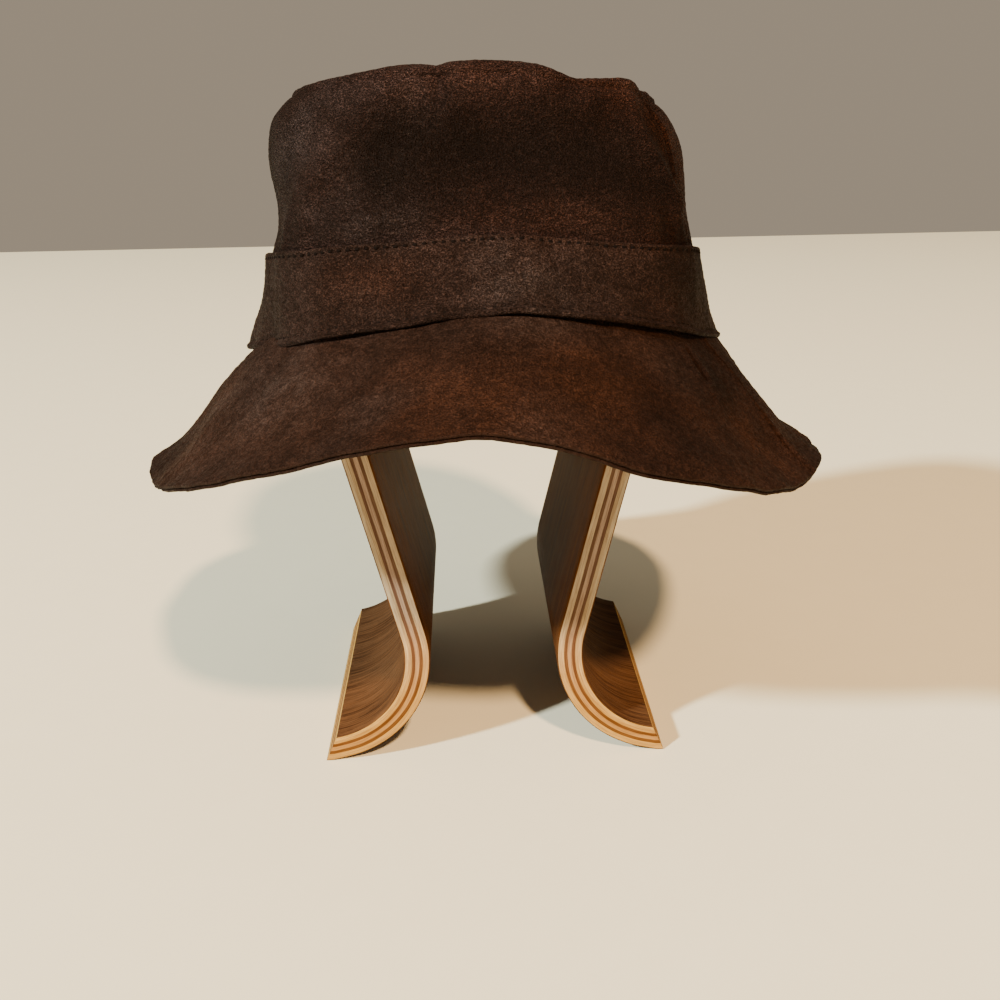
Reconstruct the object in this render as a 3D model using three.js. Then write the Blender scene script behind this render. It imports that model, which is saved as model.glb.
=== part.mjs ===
import * as THREE from 'three';

// A suede bucket hat standing on a bent plywood hat stand.
// Millimetres, +Z up, the front of the hat looks along -Y.

// Stand: one strip of plywood bent into an arch with two turned-out feet.
const STAND_HEIGHT = 244.6;
const STAND_DEPTH = 114;
const PLY = 9.5;
const ARCH_RADIUS = 64.4;
const LEG_LEAN_DEGREES = 14;
const FOOT_BEND = 42;
const FOOT_SLOPE_DEGREES = 12.6;
const FOOT_END = 8.2;
const FOOT_CUT = 6.7;
const FOOT_FLAT = 2.4;
const ARCH_STEPS = 36;
const BEND_STEPS = 14;

// Hat: overall sizes across the brim edge, and the rise from the mean edge
// level to the top of the crown, which rests on the arch.
const HAT_WIDTH = 249;
const HAT_DEPTH = 270;
const HAT_RISE = 134;
const CROWN_LEATHER = 1.5;
const BAND_LEATHER = 1.7;
const BRIM_PLY = 1.2;
const SEAM_GAP = 0.32;
const LAYER_GAP = 0.35;
const STAND_GAP = 0.45;
const DRAPE_SOFTNESS = 0.8;
const UNDER_PLY_PROUD = 0.8;
const SEAM_AZIMUTH_DEGREES = -39;
const COLUMNS = 64;

// Rings of the hat's outer face, from the tip's middle to the brim's edge.
// right and left are shares of half the width, front and back of half the
// depth; square is the roundness of the oval (2 is an ellipse); level, tilt
// (front up), dip (sides down) and roll (right down) are shares of the rise.
const RINGS = {
  centre: { right: 0, left: 0, front: 0, back: 0, square: 2, level: 1.006, tilt: 0, dip: 0, roll: 0 },
  tip_mid: {
    right: 0.225, left: 0.257, front: 0.244, back: 0.259, square: 2.2,
    level: 0.995, tilt: 0.002, dip: 0.012, roll: 0.012,
  },
  tip_out: {
    right: 0.386, left: 0.426, front: 0.378, back: 0.392, square: 2.3,
    level: 0.971, tilt: 0.003, dip: 0.030, roll: 0.020,
  },
  tip_seam: {
    right: 0.482, left: 0.514, front: 0.459, back: 0.474, square: 2.5,
    level: 0.951, tilt: 0.005, dip: 0.036, roll: 0.020,
  },
  shoulder: {
    right: 0.550, left: 0.581, front: 0.500, back: 0.519, square: 2.75,
    level: 0.862, tilt: 0.028, dip: 0.016, roll: 0.015,
  },
  wall_up: {
    right: 0.578, left: 0.590, front: 0.530, back: 0.548, square: 3.2,
    level: 0.757, tilt: 0.026, dip: 0.007, roll: 0,
  },
  wall_low: {
    right: 0.572, left: 0.580, front: 0.548, back: 0.586, square: 3.9,
    level: 0.631, tilt: 0.048, dip: 0.006, roll: 0,
  },
  band_top: {
    right: 0.596, left: 0.601, front: 0.567, back: 0.622, square: 3.6,
    level: 0.520, tilt: 0.086, dip: 0.010, roll: 0.006,
  },
  brim_seam: {
    right: 0.676, left: 0.680, front: 0.703, back: 0.681, square: 2.15,
    level: 0.314, tilt: 0.101, dip: 0.018, roll: 0,
  },
  edge: {
    right: 0.999, left: 1.001, front: 1.141, back: 0.859, square: 2.15,
    level: 0, tilt: 0.107, dip: 0.060, roll: 0,
  },
};

// Rings part way from the brim seam to the edge: share of the way out, and
// how far they sag all round and at the two sides, as shares of the rise.
const BRIM_RINGS = {
  brim_in: { out: 0.30, sag: 0.004, side_sag: 0.019 },
  brim_mid: { out: 0.66, sag: 0.012, side_sag: 0.025 },
};

// Lifts and drops of a ring: its azimuth, its spread to the right and to the left, as
// shares of a full turn (0 is the right side, 0.75 the front), and the lift as
// a share of the rise.
const WAVES = [
  { ring: 'edge', turn: 0.747, right_spread: 0.033, left_spread: 0.056, lift: 0.134 },
  { ring: 'edge', turn: 0.994, right_spread: 0.061, left_spread: 0.061, lift: 0.045 },
  { ring: 'edge', turn: 0.506, right_spread: 0.061, left_spread: 0.061, lift: 0.045 },
  { ring: 'edge', turn: 0.250, right_spread: 0.100, left_spread: 0.100, lift: -0.150 },
  { ring: 'brim_seam', turn: 0.761, right_spread: 0.072, left_spread: 0.072, lift: 0.039 },
];

const CROWN_ORDER = [
  'centre', 'tip_mid', 'tip_out', 'tip_seam', 'shoulder', 'wall_up', 'wall_low', 'band_top', 'brim_seam',
];
const BRIM_ORDER = ['brim_seam', 'brim_in', 'brim_mid', 'edge'];
const TIP_SEAM = CROWN_ORDER.indexOf('tip_seam');
const BAND_TOP = CROWN_ORDER.indexOf('band_top');
const BRIM_SEAM = CROWN_ORDER.indexOf('brim_seam');
const BRIM_EDGE = BRIM_ORDER.indexOf('edge');

const radians = (degrees) => (degrees * Math.PI) / 180;
const archCentre = STAND_HEIGHT - ARCH_RADIUS;
const edgeLevel = STAND_HEIGHT + STAND_GAP + CROWN_LEATHER - HAT_RISE;

// Height added to a ring by its waves.
function waveLift(name, azimuth) {
  let lift = 0;
  for (const wave of WAVES) {
    if (wave.ring !== name) continue;
    const past = azimuth / (2 * Math.PI) - wave.turn;
    const away = past - Math.round(past);
    const spread = away > 0 ? wave.right_spread : wave.left_spread;
    lift += wave.lift * Math.exp(-0.5 * (away / spread) ** 2);
  }
  return lift * HAT_RISE;
}

// Point of a ring at an azimuth.
function ringPoint(name, azimuth) {
  const c = Math.cos(azimuth);
  const s = Math.sin(azimuth);
  if (BRIM_RINGS[name]) {
    const { out, sag, side_sag: sideSag } = BRIM_RINGS[name];
    const point = ringPoint('brim_seam', azimuth).lerp(ringPoint('edge', azimuth), out);
    point.z -= (sag + sideSag * c * c) * HAT_RISE;
    return point;
  }
  const ring = RINGS[name];
  const across = ((c > 0 ? ring.right : ring.left) * HAT_WIDTH) / 2;
  const along = ((s < 0 ? ring.front : ring.back) * HAT_DEPTH) / 2;
  let radius = 0;
  if (across > 0) {
    const power = Math.abs(c / across) ** ring.square + Math.abs(s / along) ** ring.square;
    radius = power ** (-1 / ring.square);
  }
  const share = ring.level - ring.tilt * s - ring.dip * Math.cos(2 * azimuth) - ring.roll * c;
  const height = edgeLevel + share * HAT_RISE + waveLift(name, azimuth);
  return new THREE.Vector3(radius * c, radius * s, height);
}

// Leather that would cut the arch is draped over it instead.
function drape(point) {
  const rise = Math.max(point.z - archCentre, 0);
  const reach = Math.hypot(point.x, rise) || 1e-9;
  const over = reach - ARCH_RADIUS;
  const past = Math.abs(point.y) - STAND_DEPTH / 2;
  const outOver = Math.max(over, 0);
  const outPast = Math.max(past, 0);
  const outside = Math.hypot(outOver, outPast);
  const distance = outside + Math.min(Math.max(over, past), 0);
  const wanted = STAND_GAP + CROWN_LEATHER;
  const excess = (distance - wanted) / DRAPE_SOFTNESS;
  const soft = excess > 20 ? excess : Math.log1p(Math.exp(excess));
  const push = wanted + DRAPE_SOFTNESS * soft - distance;
  let shareOver = over > past ? 1 : 0;
  let sharePast = 1 - shareOver;
  if (outside > 1e-6) {
    shareOver = outOver / outside;
    sharePast = outPast / outside;
  }
  const moved = point.clone();
  moved.x += (push * shareOver * point.x) / reach;
  moved.z += (push * shareOver * rise) / reach;
  moved.y += push * sharePast * Math.sign(point.y);
  return moved;
}

// Smooth run through the rings of one order at a station such as 2.5.
function runPoint(order, station, azimuth) {
  const last = order.length - 1;
  const k = Math.min(Math.max(Math.floor(station), 0), last - 1);
  const t = station - k;
  const p1 = ringPoint(order[k], azimuth);
  const p2 = ringPoint(order[k + 1], azimuth);
  let p0;
  if (k > 0) p0 = ringPoint(order[k - 1], azimuth);
  else if (order[0] === 'centre') p0 = ringPoint(order[1], azimuth + Math.PI);
  else p0 = p1.clone().multiplyScalar(2).sub(p2);
  const p3 = k + 2 <= last ? ringPoint(order[k + 2], azimuth) : p2.clone().multiplyScalar(2).sub(p1);
  const blend = new THREE.Vector3();
  blend.addScaledVector(p0, (-t + 2 * t * t - t * t * t) / 2);
  blend.addScaledVector(p1, (2 - 5 * t * t + 3 * t * t * t) / 2);
  blend.addScaledVector(p2, (t + 4 * t * t - 3 * t * t * t) / 2);
  blend.addScaledVector(p3, (-t * t + t * t * t) / 2);
  return order === CROWN_ORDER ? drape(blend) : blend;
}

// Point, outward normal and the two tangents of the hat's outer face.
function skin(order, station, azimuth) {
  const last = order.length - 1;
  const step = 0.01;
  const before = Math.max(station - step, 0);
  const after = Math.min(station + step, last);
  const down = runPoint(order, after, azimuth).sub(runPoint(order, before, azimuth)).normalize();
  const point = runPoint(order, station, azimuth);
  const at = Math.max(station, 0.05);
  const around = runPoint(order, at, azimuth + step).sub(runPoint(order, at, azimuth - step)).normalize();
  const normal = new THREE.Vector3().crossVectors(down, around).normalize();
  if (order[0] === 'centre' && station === 0) normal.set(0, 0, 1);
  return { point, normal, down, around };
}

// A closed body between an outer and an inner grid of points.
function shell(name, outer, inner, ring, look) {
  const positions = [];
  const keys = new Map();
  const index = [];
  const vertex = (p) => {
    const key = [p.x, p.y, p.z].map((v) => Math.round(v * 1e5)).join(',');
    if (!keys.has(key)) {
      keys.set(key, positions.length / 3);
      positions.push(p.x, p.y, p.z);
    }
    return keys.get(key);
  };
  const triangle = (a, b, c) => {
    const corners = [vertex(a), vertex(b), vertex(c)];
    if (new Set(corners).size === 3) index.push(...corners);
  };
  const quad = (a, b, c, d) => {
    triangle(a, b, c);
    triangle(a, c, d);
  };
  const rows = outer.length;
  const columns = outer[0].length;
  const spans = ring ? columns : columns - 1;
  for (let i = 0; i + 1 < rows; i += 1) {
    for (let j = 0; j < spans; j += 1) {
      const n = (j + 1) % columns;
      quad(outer[i][j], outer[i + 1][j], outer[i + 1][n], outer[i][n]);
      quad(inner[i][j], inner[i][n], inner[i + 1][n], inner[i + 1][j]);
    }
    if (!ring) {
      quad(outer[i][0], inner[i][0], inner[i + 1][0], outer[i + 1][0]);
      const e = columns - 1;
      quad(outer[i][e], outer[i + 1][e], inner[i + 1][e], inner[i][e]);
    }
  }
  const pole = outer[0][0].distanceTo(outer[0][1]) < 1e-6;
  for (let j = 0; j < spans; j += 1) {
    const n = (j + 1) % columns;
    const e = rows - 1;
    if (!pole) quad(outer[0][j], outer[0][n], inner[0][n], inner[0][j]);
    quad(outer[e][j], inner[e][j], inner[e][n], outer[e][n]);
  }
  const geometry = new THREE.BufferGeometry();
  geometry.setAttribute('position', new THREE.Float32BufferAttribute(positions, 3));
  geometry.setIndex(index);
  geometry.computeVertexNormals();
  const mesh = new THREE.Mesh(geometry, new THREE.MeshStandardMaterial(look));
  mesh.name = name;
  return mesh;
}

// A leather piece: rows of stations and a span of azimuths, with its two
// faces lifted off the hat's outer face by the given amounts.
function leather(name, order, stations, span, lift, trim, look) {
  const outer = [];
  const inner = [];
  const ring = span === 'ring';
  const steps = ring ? COLUMNS : COLUMNS / 2;
  const first = radians(SEAM_AZIMUTH_DEGREES + (span === 'front' ? 180 : 0));
  stations.forEach((station, i) => {
    const outerRow = [];
    const innerRow = [];
    for (let j = 0; j < (ring ? steps : steps + 1); j += 1) {
      const azimuth = first + (j * 2 * Math.PI) / COLUMNS;
      const { point, normal, down, around } = skin(order, station, azimuth);
      if (i === 0) point.addScaledVector(down, trim.top);
      if (i === stations.length - 1) point.addScaledVector(down, -trim.bottom);
      if (!ring && j === 0) point.addScaledVector(around, SEAM_GAP / 2);
      if (!ring && j === steps) point.addScaledVector(around, -SEAM_GAP / 2);
      outerRow.push(point.clone().addScaledVector(normal, lift.outer));
      innerRow.push(point.clone().addScaledVector(normal, lift.inner));
    }
    outer.push(outerRow);
    inner.push(innerRow);
  });
  return shell(name, outer, inner, ring, look);
}

// The stand: corners of the strip followed from one foot over to the other.
function standBody(look) {
  const lean = radians(LEG_LEAN_DEGREES);
  const slope = radians(FOOT_SLOPE_DEGREES);
  const flatRun = FOOT_FLAT * Math.cos(slope);
  const bendLevel = FOOT_BEND * Math.cos(slope) + (FOOT_END - flatRun) * Math.sin(slope);
  const drop = (archCentre - bendLevel) * Math.sin(lean);
  const bendAcross = (ARCH_RADIUS + FOOT_BEND - PLY - drop) / Math.cos(lean);
  const under = [];
  const upper = [];
  const place = (x, z, toX, toZ) => {
    under.push([x, z]);
    upper.push([toX, toZ]);
  };
  const alongX = Math.cos(slope);
  const alongZ = -Math.sin(slope);
  const bendX = -Math.sin(slope);
  const bendZ = -Math.cos(slope);
  const rootX = bendAcross + FOOT_BEND * bendX;
  const rootZ = bendLevel + FOOT_BEND * bendZ;
  const topX = bendAcross + (FOOT_BEND - PLY) * bendX;
  const topZ = bendLevel + (FOOT_BEND - PLY) * bendZ;
  const flatX = rootX + (FOOT_END - flatRun) * alongX;
  const topRun = FOOT_END - FOOT_CUT;
  place(flatX + FOOT_FLAT, 0, topX + topRun * alongX, topZ + topRun * alongZ);
  place(flatX, 0, topX + (topRun * alongX) / 2, topZ + (topRun * alongZ) / 2);
  for (let i = 0; i <= BEND_STEPS; i += 1) {
    const start = 1.5 * Math.PI - slope;
    const end = Math.PI - lean;
    const a = start + ((end - start) * i) / BEND_STEPS;
    const r = FOOT_BEND - PLY;
    place(
      bendAcross + FOOT_BEND * Math.cos(a),
      bendLevel + FOOT_BEND * Math.sin(a),
      bendAcross + r * Math.cos(a),
      bendLevel + r * Math.sin(a),
    );
  }
  for (let i = 0; i <= ARCH_STEPS / 2; i += 1) {
    const a = -lean + ((Math.PI / 2 + lean) * i) / (ARCH_STEPS / 2);
    const r = ARCH_RADIUS - PLY;
    place(
      r * Math.cos(a),
      archCentre + r * Math.sin(a),
      ARCH_RADIUS * Math.cos(a),
      archCentre + ARCH_RADIUS * Math.sin(a),
    );
  }
  const mirror = (path) => path.slice(0, -1).reverse().map(([x, z]) => [-x, z]);
  const innerPath = under.concat(mirror(under));
  const outerPath = upper.concat(mirror(upper));
  const grid = (path) => [-1, 1].map((side) => path.map(([x, z]) => new THREE.Vector3(x, (side * STAND_DEPTH) / 2, z)));
  return shell('stand', grid(outerPath), grid(innerPath), false, look);
}

const brown = (hex, roughness) => ({ color: hex, roughness, metalness: 0 });
const half = SEAM_GAP / 2;
const butt = { top: half, bottom: half };
const crownLift = { outer: 0, inner: -CROWN_LEATHER };
const bandLift = { outer: LAYER_GAP + BAND_LEATHER, inner: LAYER_GAP };
const topLift = { outer: 0, inner: -BRIM_PLY };
const underLift = { outer: -BRIM_PLY - LAYER_GAP, inner: -2 * BRIM_PLY - LAYER_GAP };
const tipRows = [0, 0.35, 0.7, 1, 1.33, 1.67, 2, 2.5, TIP_SEAM];
const wallRows = [TIP_SEAM, 3.4, 4, 4.5, 5, 5.5, 6, 6.5, BAND_TOP, 7.5, BRIM_SEAM];
const bandRows = [BAND_TOP, BAND_TOP + 0.5, BRIM_SEAM];
const brimRows = [0, 0.5, 1, 1.5, 2, 2.5, BRIM_EDGE];

const part = new THREE.Group();
part.name = 'suede_bucket_hat_on_stand';
part.add(
  leather('crown_tip', CROWN_ORDER, tipRows, 'ring', crownLift, { top: 0, bottom: half }, brown(0x3b241a, 0.8)),
  leather('crown_front', CROWN_ORDER, wallRows, 'front', crownLift, butt, brown(0x33201a, 0.8)),
  leather('crown_back', CROWN_ORDER, wallRows, 'back', crownLift, butt, brown(0x33201a, 0.8)),
  leather('hat_band', CROWN_ORDER, bandRows, 'ring', bandLift, { top: 0, bottom: 0 }, brown(0x45291c, 0.85)),
);
const plyTrim = { top: half, bottom: 0 };
const proudTrim = { top: half, bottom: -UNDER_PLY_PROUD };
for (const side of ['front', 'back']) {
  part.add(
    leather(`brim_top_${side}`, BRIM_ORDER, brimRows, side, topLift, plyTrim, brown(0x4a2c1d, 0.85)),
    leather(`brim_under_${side}`, BRIM_ORDER, brimRows, side, underLift, proudTrim, brown(0x3c251a, 0.9)),
  );
}
part.add(standBody(brown(0x8a6238, 0.5)));

// The middle of the part's footprint stands on the origin.
const bounds = new THREE.Box3().setFromObject(part);
const middle = bounds.getCenter(new THREE.Vector3());
for (const mesh of part.children) mesh.geometry.translate(-middle.x, -middle.y, -bounds.min.z);

export default part;
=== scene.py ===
import math

import bpy
import numpy as np
from mathutils import Matrix, Vector


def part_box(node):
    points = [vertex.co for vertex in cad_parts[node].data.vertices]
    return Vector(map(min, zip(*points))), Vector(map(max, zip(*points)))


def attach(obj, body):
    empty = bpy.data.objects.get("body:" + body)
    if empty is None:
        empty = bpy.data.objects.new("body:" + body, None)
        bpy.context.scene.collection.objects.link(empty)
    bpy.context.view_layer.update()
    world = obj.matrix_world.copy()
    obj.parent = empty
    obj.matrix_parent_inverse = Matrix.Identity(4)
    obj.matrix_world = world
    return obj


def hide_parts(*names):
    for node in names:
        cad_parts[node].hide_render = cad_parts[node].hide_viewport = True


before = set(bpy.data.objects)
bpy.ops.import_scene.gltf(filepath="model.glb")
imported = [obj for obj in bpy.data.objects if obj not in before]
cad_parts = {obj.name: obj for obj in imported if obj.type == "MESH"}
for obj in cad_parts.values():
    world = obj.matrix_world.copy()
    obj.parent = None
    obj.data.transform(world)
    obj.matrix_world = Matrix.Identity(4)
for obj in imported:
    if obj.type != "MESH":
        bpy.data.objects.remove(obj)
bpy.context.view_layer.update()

MM = 0.001

# Sizes in millimetres, the same ones that the solids have.
STAND_HEIGHT = 244.6
STAND_DEPTH = 114.0
PLY = 9.5
ARCH_RADIUS = 64.4
LEG_LEAN = math.radians(14)
FOOT_BEND = 42.0
FOOT_SLOPE = math.radians(12.6)
FOOT_END = 8.2
FOOT_CUT = 6.7
FOOT_FLAT = 2.4
HAT_WIDTH = 249.0
HAT_DEPTH = 270.0
HAT_RISE = 134.0
CROWN_LEATHER = 1.5
BAND_LEATHER = 1.7
BRIM_PLY = 1.2
SEAM_GAP = 0.32
LAYER_GAP = 0.35
STAND_GAP = 0.45
DRAPE_SOFTNESS = 0.8
EDGE_SOFTNESS = 0.55
UNDER_PLY = 0.9
UNDER_GAP = 0.12
HEM_DROP = 4.6
SEAM_AZIMUTH = math.radians(-39)
ARCH_CENTRE = STAND_HEIGHT - ARCH_RADIUS
EDGE_LEVEL = STAND_HEIGHT + STAND_GAP + CROWN_LEATHER - HAT_RISE

# Rings of the hat's outer face: right, left, front, back, square, level,
# tilt, dip, roll, as in the solids.
RINGS = {
    "centre": (0, 0, 0, 0, 2, 1.006, 0, 0, 0),
    "tip_mid": (0.225, 0.257, 0.244, 0.259, 2.2, 0.995, 0.002, 0.012, 0.012),
    "tip_out": (0.386, 0.426, 0.378, 0.392, 2.3, 0.971, 0.003, 0.030, 0.020),
    "tip_seam": (0.482, 0.514, 0.459, 0.474, 2.5, 0.951, 0.005, 0.036, 0.020),
    "shoulder": (0.550, 0.581, 0.500, 0.519, 2.75, 0.862, 0.028, 0.016, 0.015),
    "wall_up": (0.578, 0.590, 0.530, 0.548, 3.2, 0.757, 0.026, 0.007, 0),
    "wall_low": (0.572, 0.580, 0.548, 0.586, 3.9, 0.631, 0.048, 0.006, 0),
    "band_top": (0.596, 0.601, 0.567, 0.622, 3.6, 0.520, 0.086, 0.010, 0.006),
    "brim_seam": (0.676, 0.680, 0.703, 0.681, 2.15, 0.314, 0.101, 0.018, 0),
    "edge": (0.999, 1.001, 1.141, 0.859, 2.15, 0, 0.107, 0.060, 0),
}
# Share of the way out to the edge, sag all round, sag at the sides.
BRIM_RINGS = {
    "brim_in": (0.30, 0.004, 0.019),
    "brim_mid": (0.66, 0.012, 0.025),
}
# Ring, place on the turn, spread to the right and left, lift.
WAVES = (
    ("edge", 0.747, 0.033, 0.056, 0.134),
    ("edge", 0.994, 0.061, 0.061, 0.045),
    ("edge", 0.506, 0.061, 0.061, 0.045),
    ("edge", 0.250, 0.100, 0.100, -0.150),
    ("brim_seam", 0.761, 0.072, 0.072, 0.039),
)
CROWN = ("centre", "tip_mid", "tip_out", "tip_seam", "shoulder", "wall_up", "wall_low", "band_top",
         "brim_seam")
BRIM = ("brim_seam", "brim_in", "brim_mid", "edge")

stand_low, stand_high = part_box("stand")
SHIFT = np.array([(stand_low[0] + stand_high[0]) / 2, (stand_low[1] + stand_high[1]) / 2, 0.0]) / MM

# Fineness of the meshes: columns round the hat and round half of it, rows in
# the band's hem, outer rows to each inner one, and the angles that round an edge.
FINE = 1.0
RING_COLUMNS = 640
HALF_COLUMNS = 400
HEM_ROWS = 24
LINING_STEP = 4
ROUNDING = (0.6, 1.2, 1.94, 2.54)
ROUNDING_SIDES = (0.8, 0.6, 0.4, 0.2)
# Rows and columns beside an edge that move with it when it is trimmed.
TRIM_ROWS = 7
TRIM_COLUMNS = 5
# How far down the band its two rows of stitches run, and from stitch to stitch.
TOP_ROW = 0.05
BOTTOM_ROW = 0.89
STITCH_PITCH = 3.0
# Floor and lights, in metres.
FLOOR_HALF = 1.7
LIGHTS_AIM = (0, 0, 0.12)


# Camera: fitted to the picture, in the stand's own millimetres and in degrees.
CAMERA_PLACE = np.array([-7.03, -420.73, 232.34])
CAMERA_TURN = (1.642, 19.516, 1.039)
CAMERA_LENS = 39.6
SENSOR_WIDTH = 36.0


def make_camera():
    place = CAMERA_PLACE + SHIFT
    yaw, pitch, roll = (math.radians(a) for a in CAMERA_TURN)
    level = math.cos(pitch)
    forward = np.array([math.sin(yaw) * level, math.cos(yaw) * level, -math.sin(pitch)])
    right = np.array([math.cos(yaw), -math.sin(yaw), 0.0])
    down = np.cross(forward, right)
    across = math.cos(roll) * right + math.sin(roll) * down
    below = -math.sin(roll) * right + math.cos(roll) * down
    data = bpy.data.cameras.new("camera")
    data.sensor_width = SENSOR_WIDTH
    data.lens = CAMERA_LENS
    data.clip_start = 0.01
    data.clip_end = 20.0
    camera = bpy.data.objects.new("camera", data)
    bpy.context.scene.collection.objects.link(camera)
    matrix = Matrix.Identity(4)
    for row in range(3):
        matrix[row][0] = across[row]
        matrix[row][1] = -below[row]
        matrix[row][2] = -forward[row]
        matrix[row][3] = place[row] * MM
    camera.matrix_world = matrix
    bpy.context.scene.camera = camera


make_camera()


# The hat's outer face.
def wave_lift(name, azimuth):
    lift = np.zeros_like(azimuth)
    for ring, turn, right, left, amount in WAVES:
        if ring == name:
            past = azimuth / (2 * math.pi) - turn
            away = past - np.round(past)
            lift += amount * np.exp(-0.5 * (away / np.where(away > 0, right, left)) ** 2)
    return lift * HAT_RISE


def ring_points(name, azimuth):
    c, s = np.cos(azimuth), np.sin(azimuth)
    if name in BRIM_RINGS:
        out, sag, side_sag = BRIM_RINGS[name]
        points = (1 - out) * ring_points("brim_seam", azimuth) + out * ring_points("edge", azimuth)
        points[:, 2] -= (sag + side_sag * c * c) * HAT_RISE
        return points
    right, left, front, back, square, level, tilt, dip, roll = RINGS[name]
    radius = np.zeros_like(azimuth)
    if right > 0:
        across = np.where(c > 0, right, left) * HAT_WIDTH / 2
        along = np.where(s < 0, front, back) * HAT_DEPTH / 2
        radius = (np.abs(c / across) ** square + np.abs(s / along) ** square) ** (-1 / square)
    height = EDGE_LEVEL + (level - tilt * s - dip * np.cos(2 * azimuth) - roll * c) * HAT_RISE
    return np.stack([radius * c, radius * s, height + wave_lift(name, azimuth)], -1)


def drape(points):
    x, y, z = points[..., 0], points[..., 1], points[..., 2]
    rise = np.maximum(z - ARCH_CENTRE, 0)
    reach = np.hypot(x, rise) + 1e-9
    over = reach - ARCH_RADIUS
    past = np.abs(y) - STAND_DEPTH / 2
    out_over, out_past = np.maximum(over, 0), np.maximum(past, 0)
    outside = np.hypot(out_over, out_past)
    distance = outside + np.minimum(np.maximum(over, past), 0)
    wanted = STAND_GAP + CROWN_LEATHER
    push = wanted + DRAPE_SOFTNESS * np.logaddexp(0, (distance - wanted) / DRAPE_SOFTNESS) - distance
    clear = np.where(outside > 1e-6, outside, 1)
    share_over = np.where(outside > 1e-6, out_over / clear, over > past)
    share_past = np.where(outside > 1e-6, out_past / clear, over <= past)
    moved = points.copy()
    moved[..., 0] += push * share_over * x / reach
    moved[..., 2] += push * share_over * rise / reach
    moved[..., 1] += push * share_past * np.sign(y)
    return moved


def run_grid(order, stations, azimuth):
    rings = [ring_points(name, azimuth) for name in order]
    first = ring_points(order[1], azimuth + math.pi) if order[0] == "centre" else 2 * rings[0] - rings[1]
    rings = [first] + rings + [2 * rings[-1] - rings[-2]]
    rows = []
    for station in stations:
        k = int(min(max(math.floor(station), 0), len(order) - 2))
        t = station - k
        p0, p1, p2, p3 = rings[k:k + 4]
        rows.append(0.5 * (2 * p1 + (p2 - p0) * t + (2 * p0 - 5 * p1 + 4 * p2 - p3) * t * t
                           + (3 * p1 - p0 - 3 * p2 + p3) * t ** 3))
    grid = np.array(rows)
    return drape(grid) if order is CROWN else grid


# Smooth unevenness about as large as the size given: waves in seeded directions.
def unevenness(points, size, seed, count=28):
    random = np.random.default_rng(seed)
    directions = random.normal(size=(count, 3))
    directions /= np.linalg.norm(directions, axis=1, keepdims=True)
    pace = 2 * math.pi / size * random.uniform(0.6, 1.5, count)
    phase = random.uniform(0, 2 * math.pi, count)
    total = np.zeros(points.shape[:-1])
    for d, p, f in zip(directions, pace, phase):
        total += np.sin(points @ (d * p) + f)
    return total / math.sqrt(count / 2)


def bell(value, centre, spread):
    return np.exp(-0.5 * ((value - centre) / spread) ** 2)


def ramp(value, low, high):
    t = np.clip((value - low) / (high - low), 0, 1)
    return t * t * (3 - 2 * t)


# Ridges that the arch's front edge presses into the crown, top to bottom.
RIDGE_RIGHT = ((47.0, -44, 239), (47.5, -54, 233), (49.5, -59, 226), (53.5, -60, 219), (58, -60, 212),
               (61, -58.5, 207), (62.5, -57, 203))
RIDGE_LEFT = ((-31, -63, 238), (-38, -64, 231), (-43.5, -64.5, 224), (-49, -64, 219), (-54, -63, 214),
              (-57.5, -62, 208), (-59.5, -62, 203))
# Short creases pushed into the brim.
CREASES = (
    ((62.5, -79, 159.5), (65, -83, 156), (67.5, -86.5, 152.5)),
    ((38, -86, 164), (46, -87, 162), (52, -85, 161)),
    ((30, -104, 160), (41, -103, 157.5), (50, -101, 155)),
    ((-58, -76, 158), (-62, -84, 154), (-66, -92, 150)),
)


def near_line(p, line):
    line = np.array(line, float)
    best = np.full(p.shape[:-1], 1e9)
    for a, b in zip(line[:-1], line[1:]):
        t = np.clip(((p - a) @ (b - a)) / ((b - a) @ (b - a)), 0, 1)
        best = np.minimum(best, np.linalg.norm(p - a - t[..., None] * (b - a), axis=-1))
    return best


def line_side(p, line):
    line = np.array(line, float)[::-1]
    return p[..., 0] - np.interp(p[..., 2], line[:, 2], line[:, 0])


def crown_folds(p):
    x, y, z = p[..., 0], p[..., 1], p[..., 2]
    front = ramp(-y, 36, 54)
    right, left = near_line(p, RIDGE_RIGHT), near_line(p, RIDGE_LEFT)
    right_side, left_side = line_side(p, RIDGE_RIGHT), line_side(p, RIDGE_LEFT)
    fade = 1 - ramp(z, 231, 239)
    lift = 1.9 * np.exp(-right / 2.4) * fade + 1.2 * bell(left, 0, 5)
    lift -= 1.5 * bell(right, 9, 4.5) * ramp(-right_side, 0, 3) * front
    lift -= 1.3 * bell(right, 8, 3.5) * ramp(right_side, 0, 3)
    lift -= 1.2 * bell(left, 11, 5) * ramp(left_side, 0, 4) * front
    lift -= front * 4.0 * bell(x, -1, 33) * bell(z, 219, 11)
    lift += front * 1.2 * bell(x, 0, 50) * bell(z, 202, 6)
    lift += front * 0.8 * bell(x, 4, 34) * bell(z, 236, 4)
    lift -= 1.5 * ramp(-x, 60, 82) * bell(z, 170, 15)
    lift -= 1.9 * bell(z, 203, 9) * ramp(-x, 50, 66) + 1.5 * bell(z, 207, 14) * ramp(x, 54, 68)
    top = ramp(z, 232, 240)
    lift -= top * 3.2 * bell(x, 29, 5)
    lift += top * 0.8 * bell(x, 44, 7)
    lift -= top * (0.9 * bell(x, -42, 8) + 1.5 * bell(x, -2, 15))
    lift += top * (0.9 * ramp(x, -15, -10) - 0.8 * bell(x, -13, 1.8)) * ramp(-y, -30, 20)
    lift += (0.5 * unevenness(p, 55, 3) + 0.22 * unevenness(p, 20, 4)) * (1 - 0.6 * top)
    return lift


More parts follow.
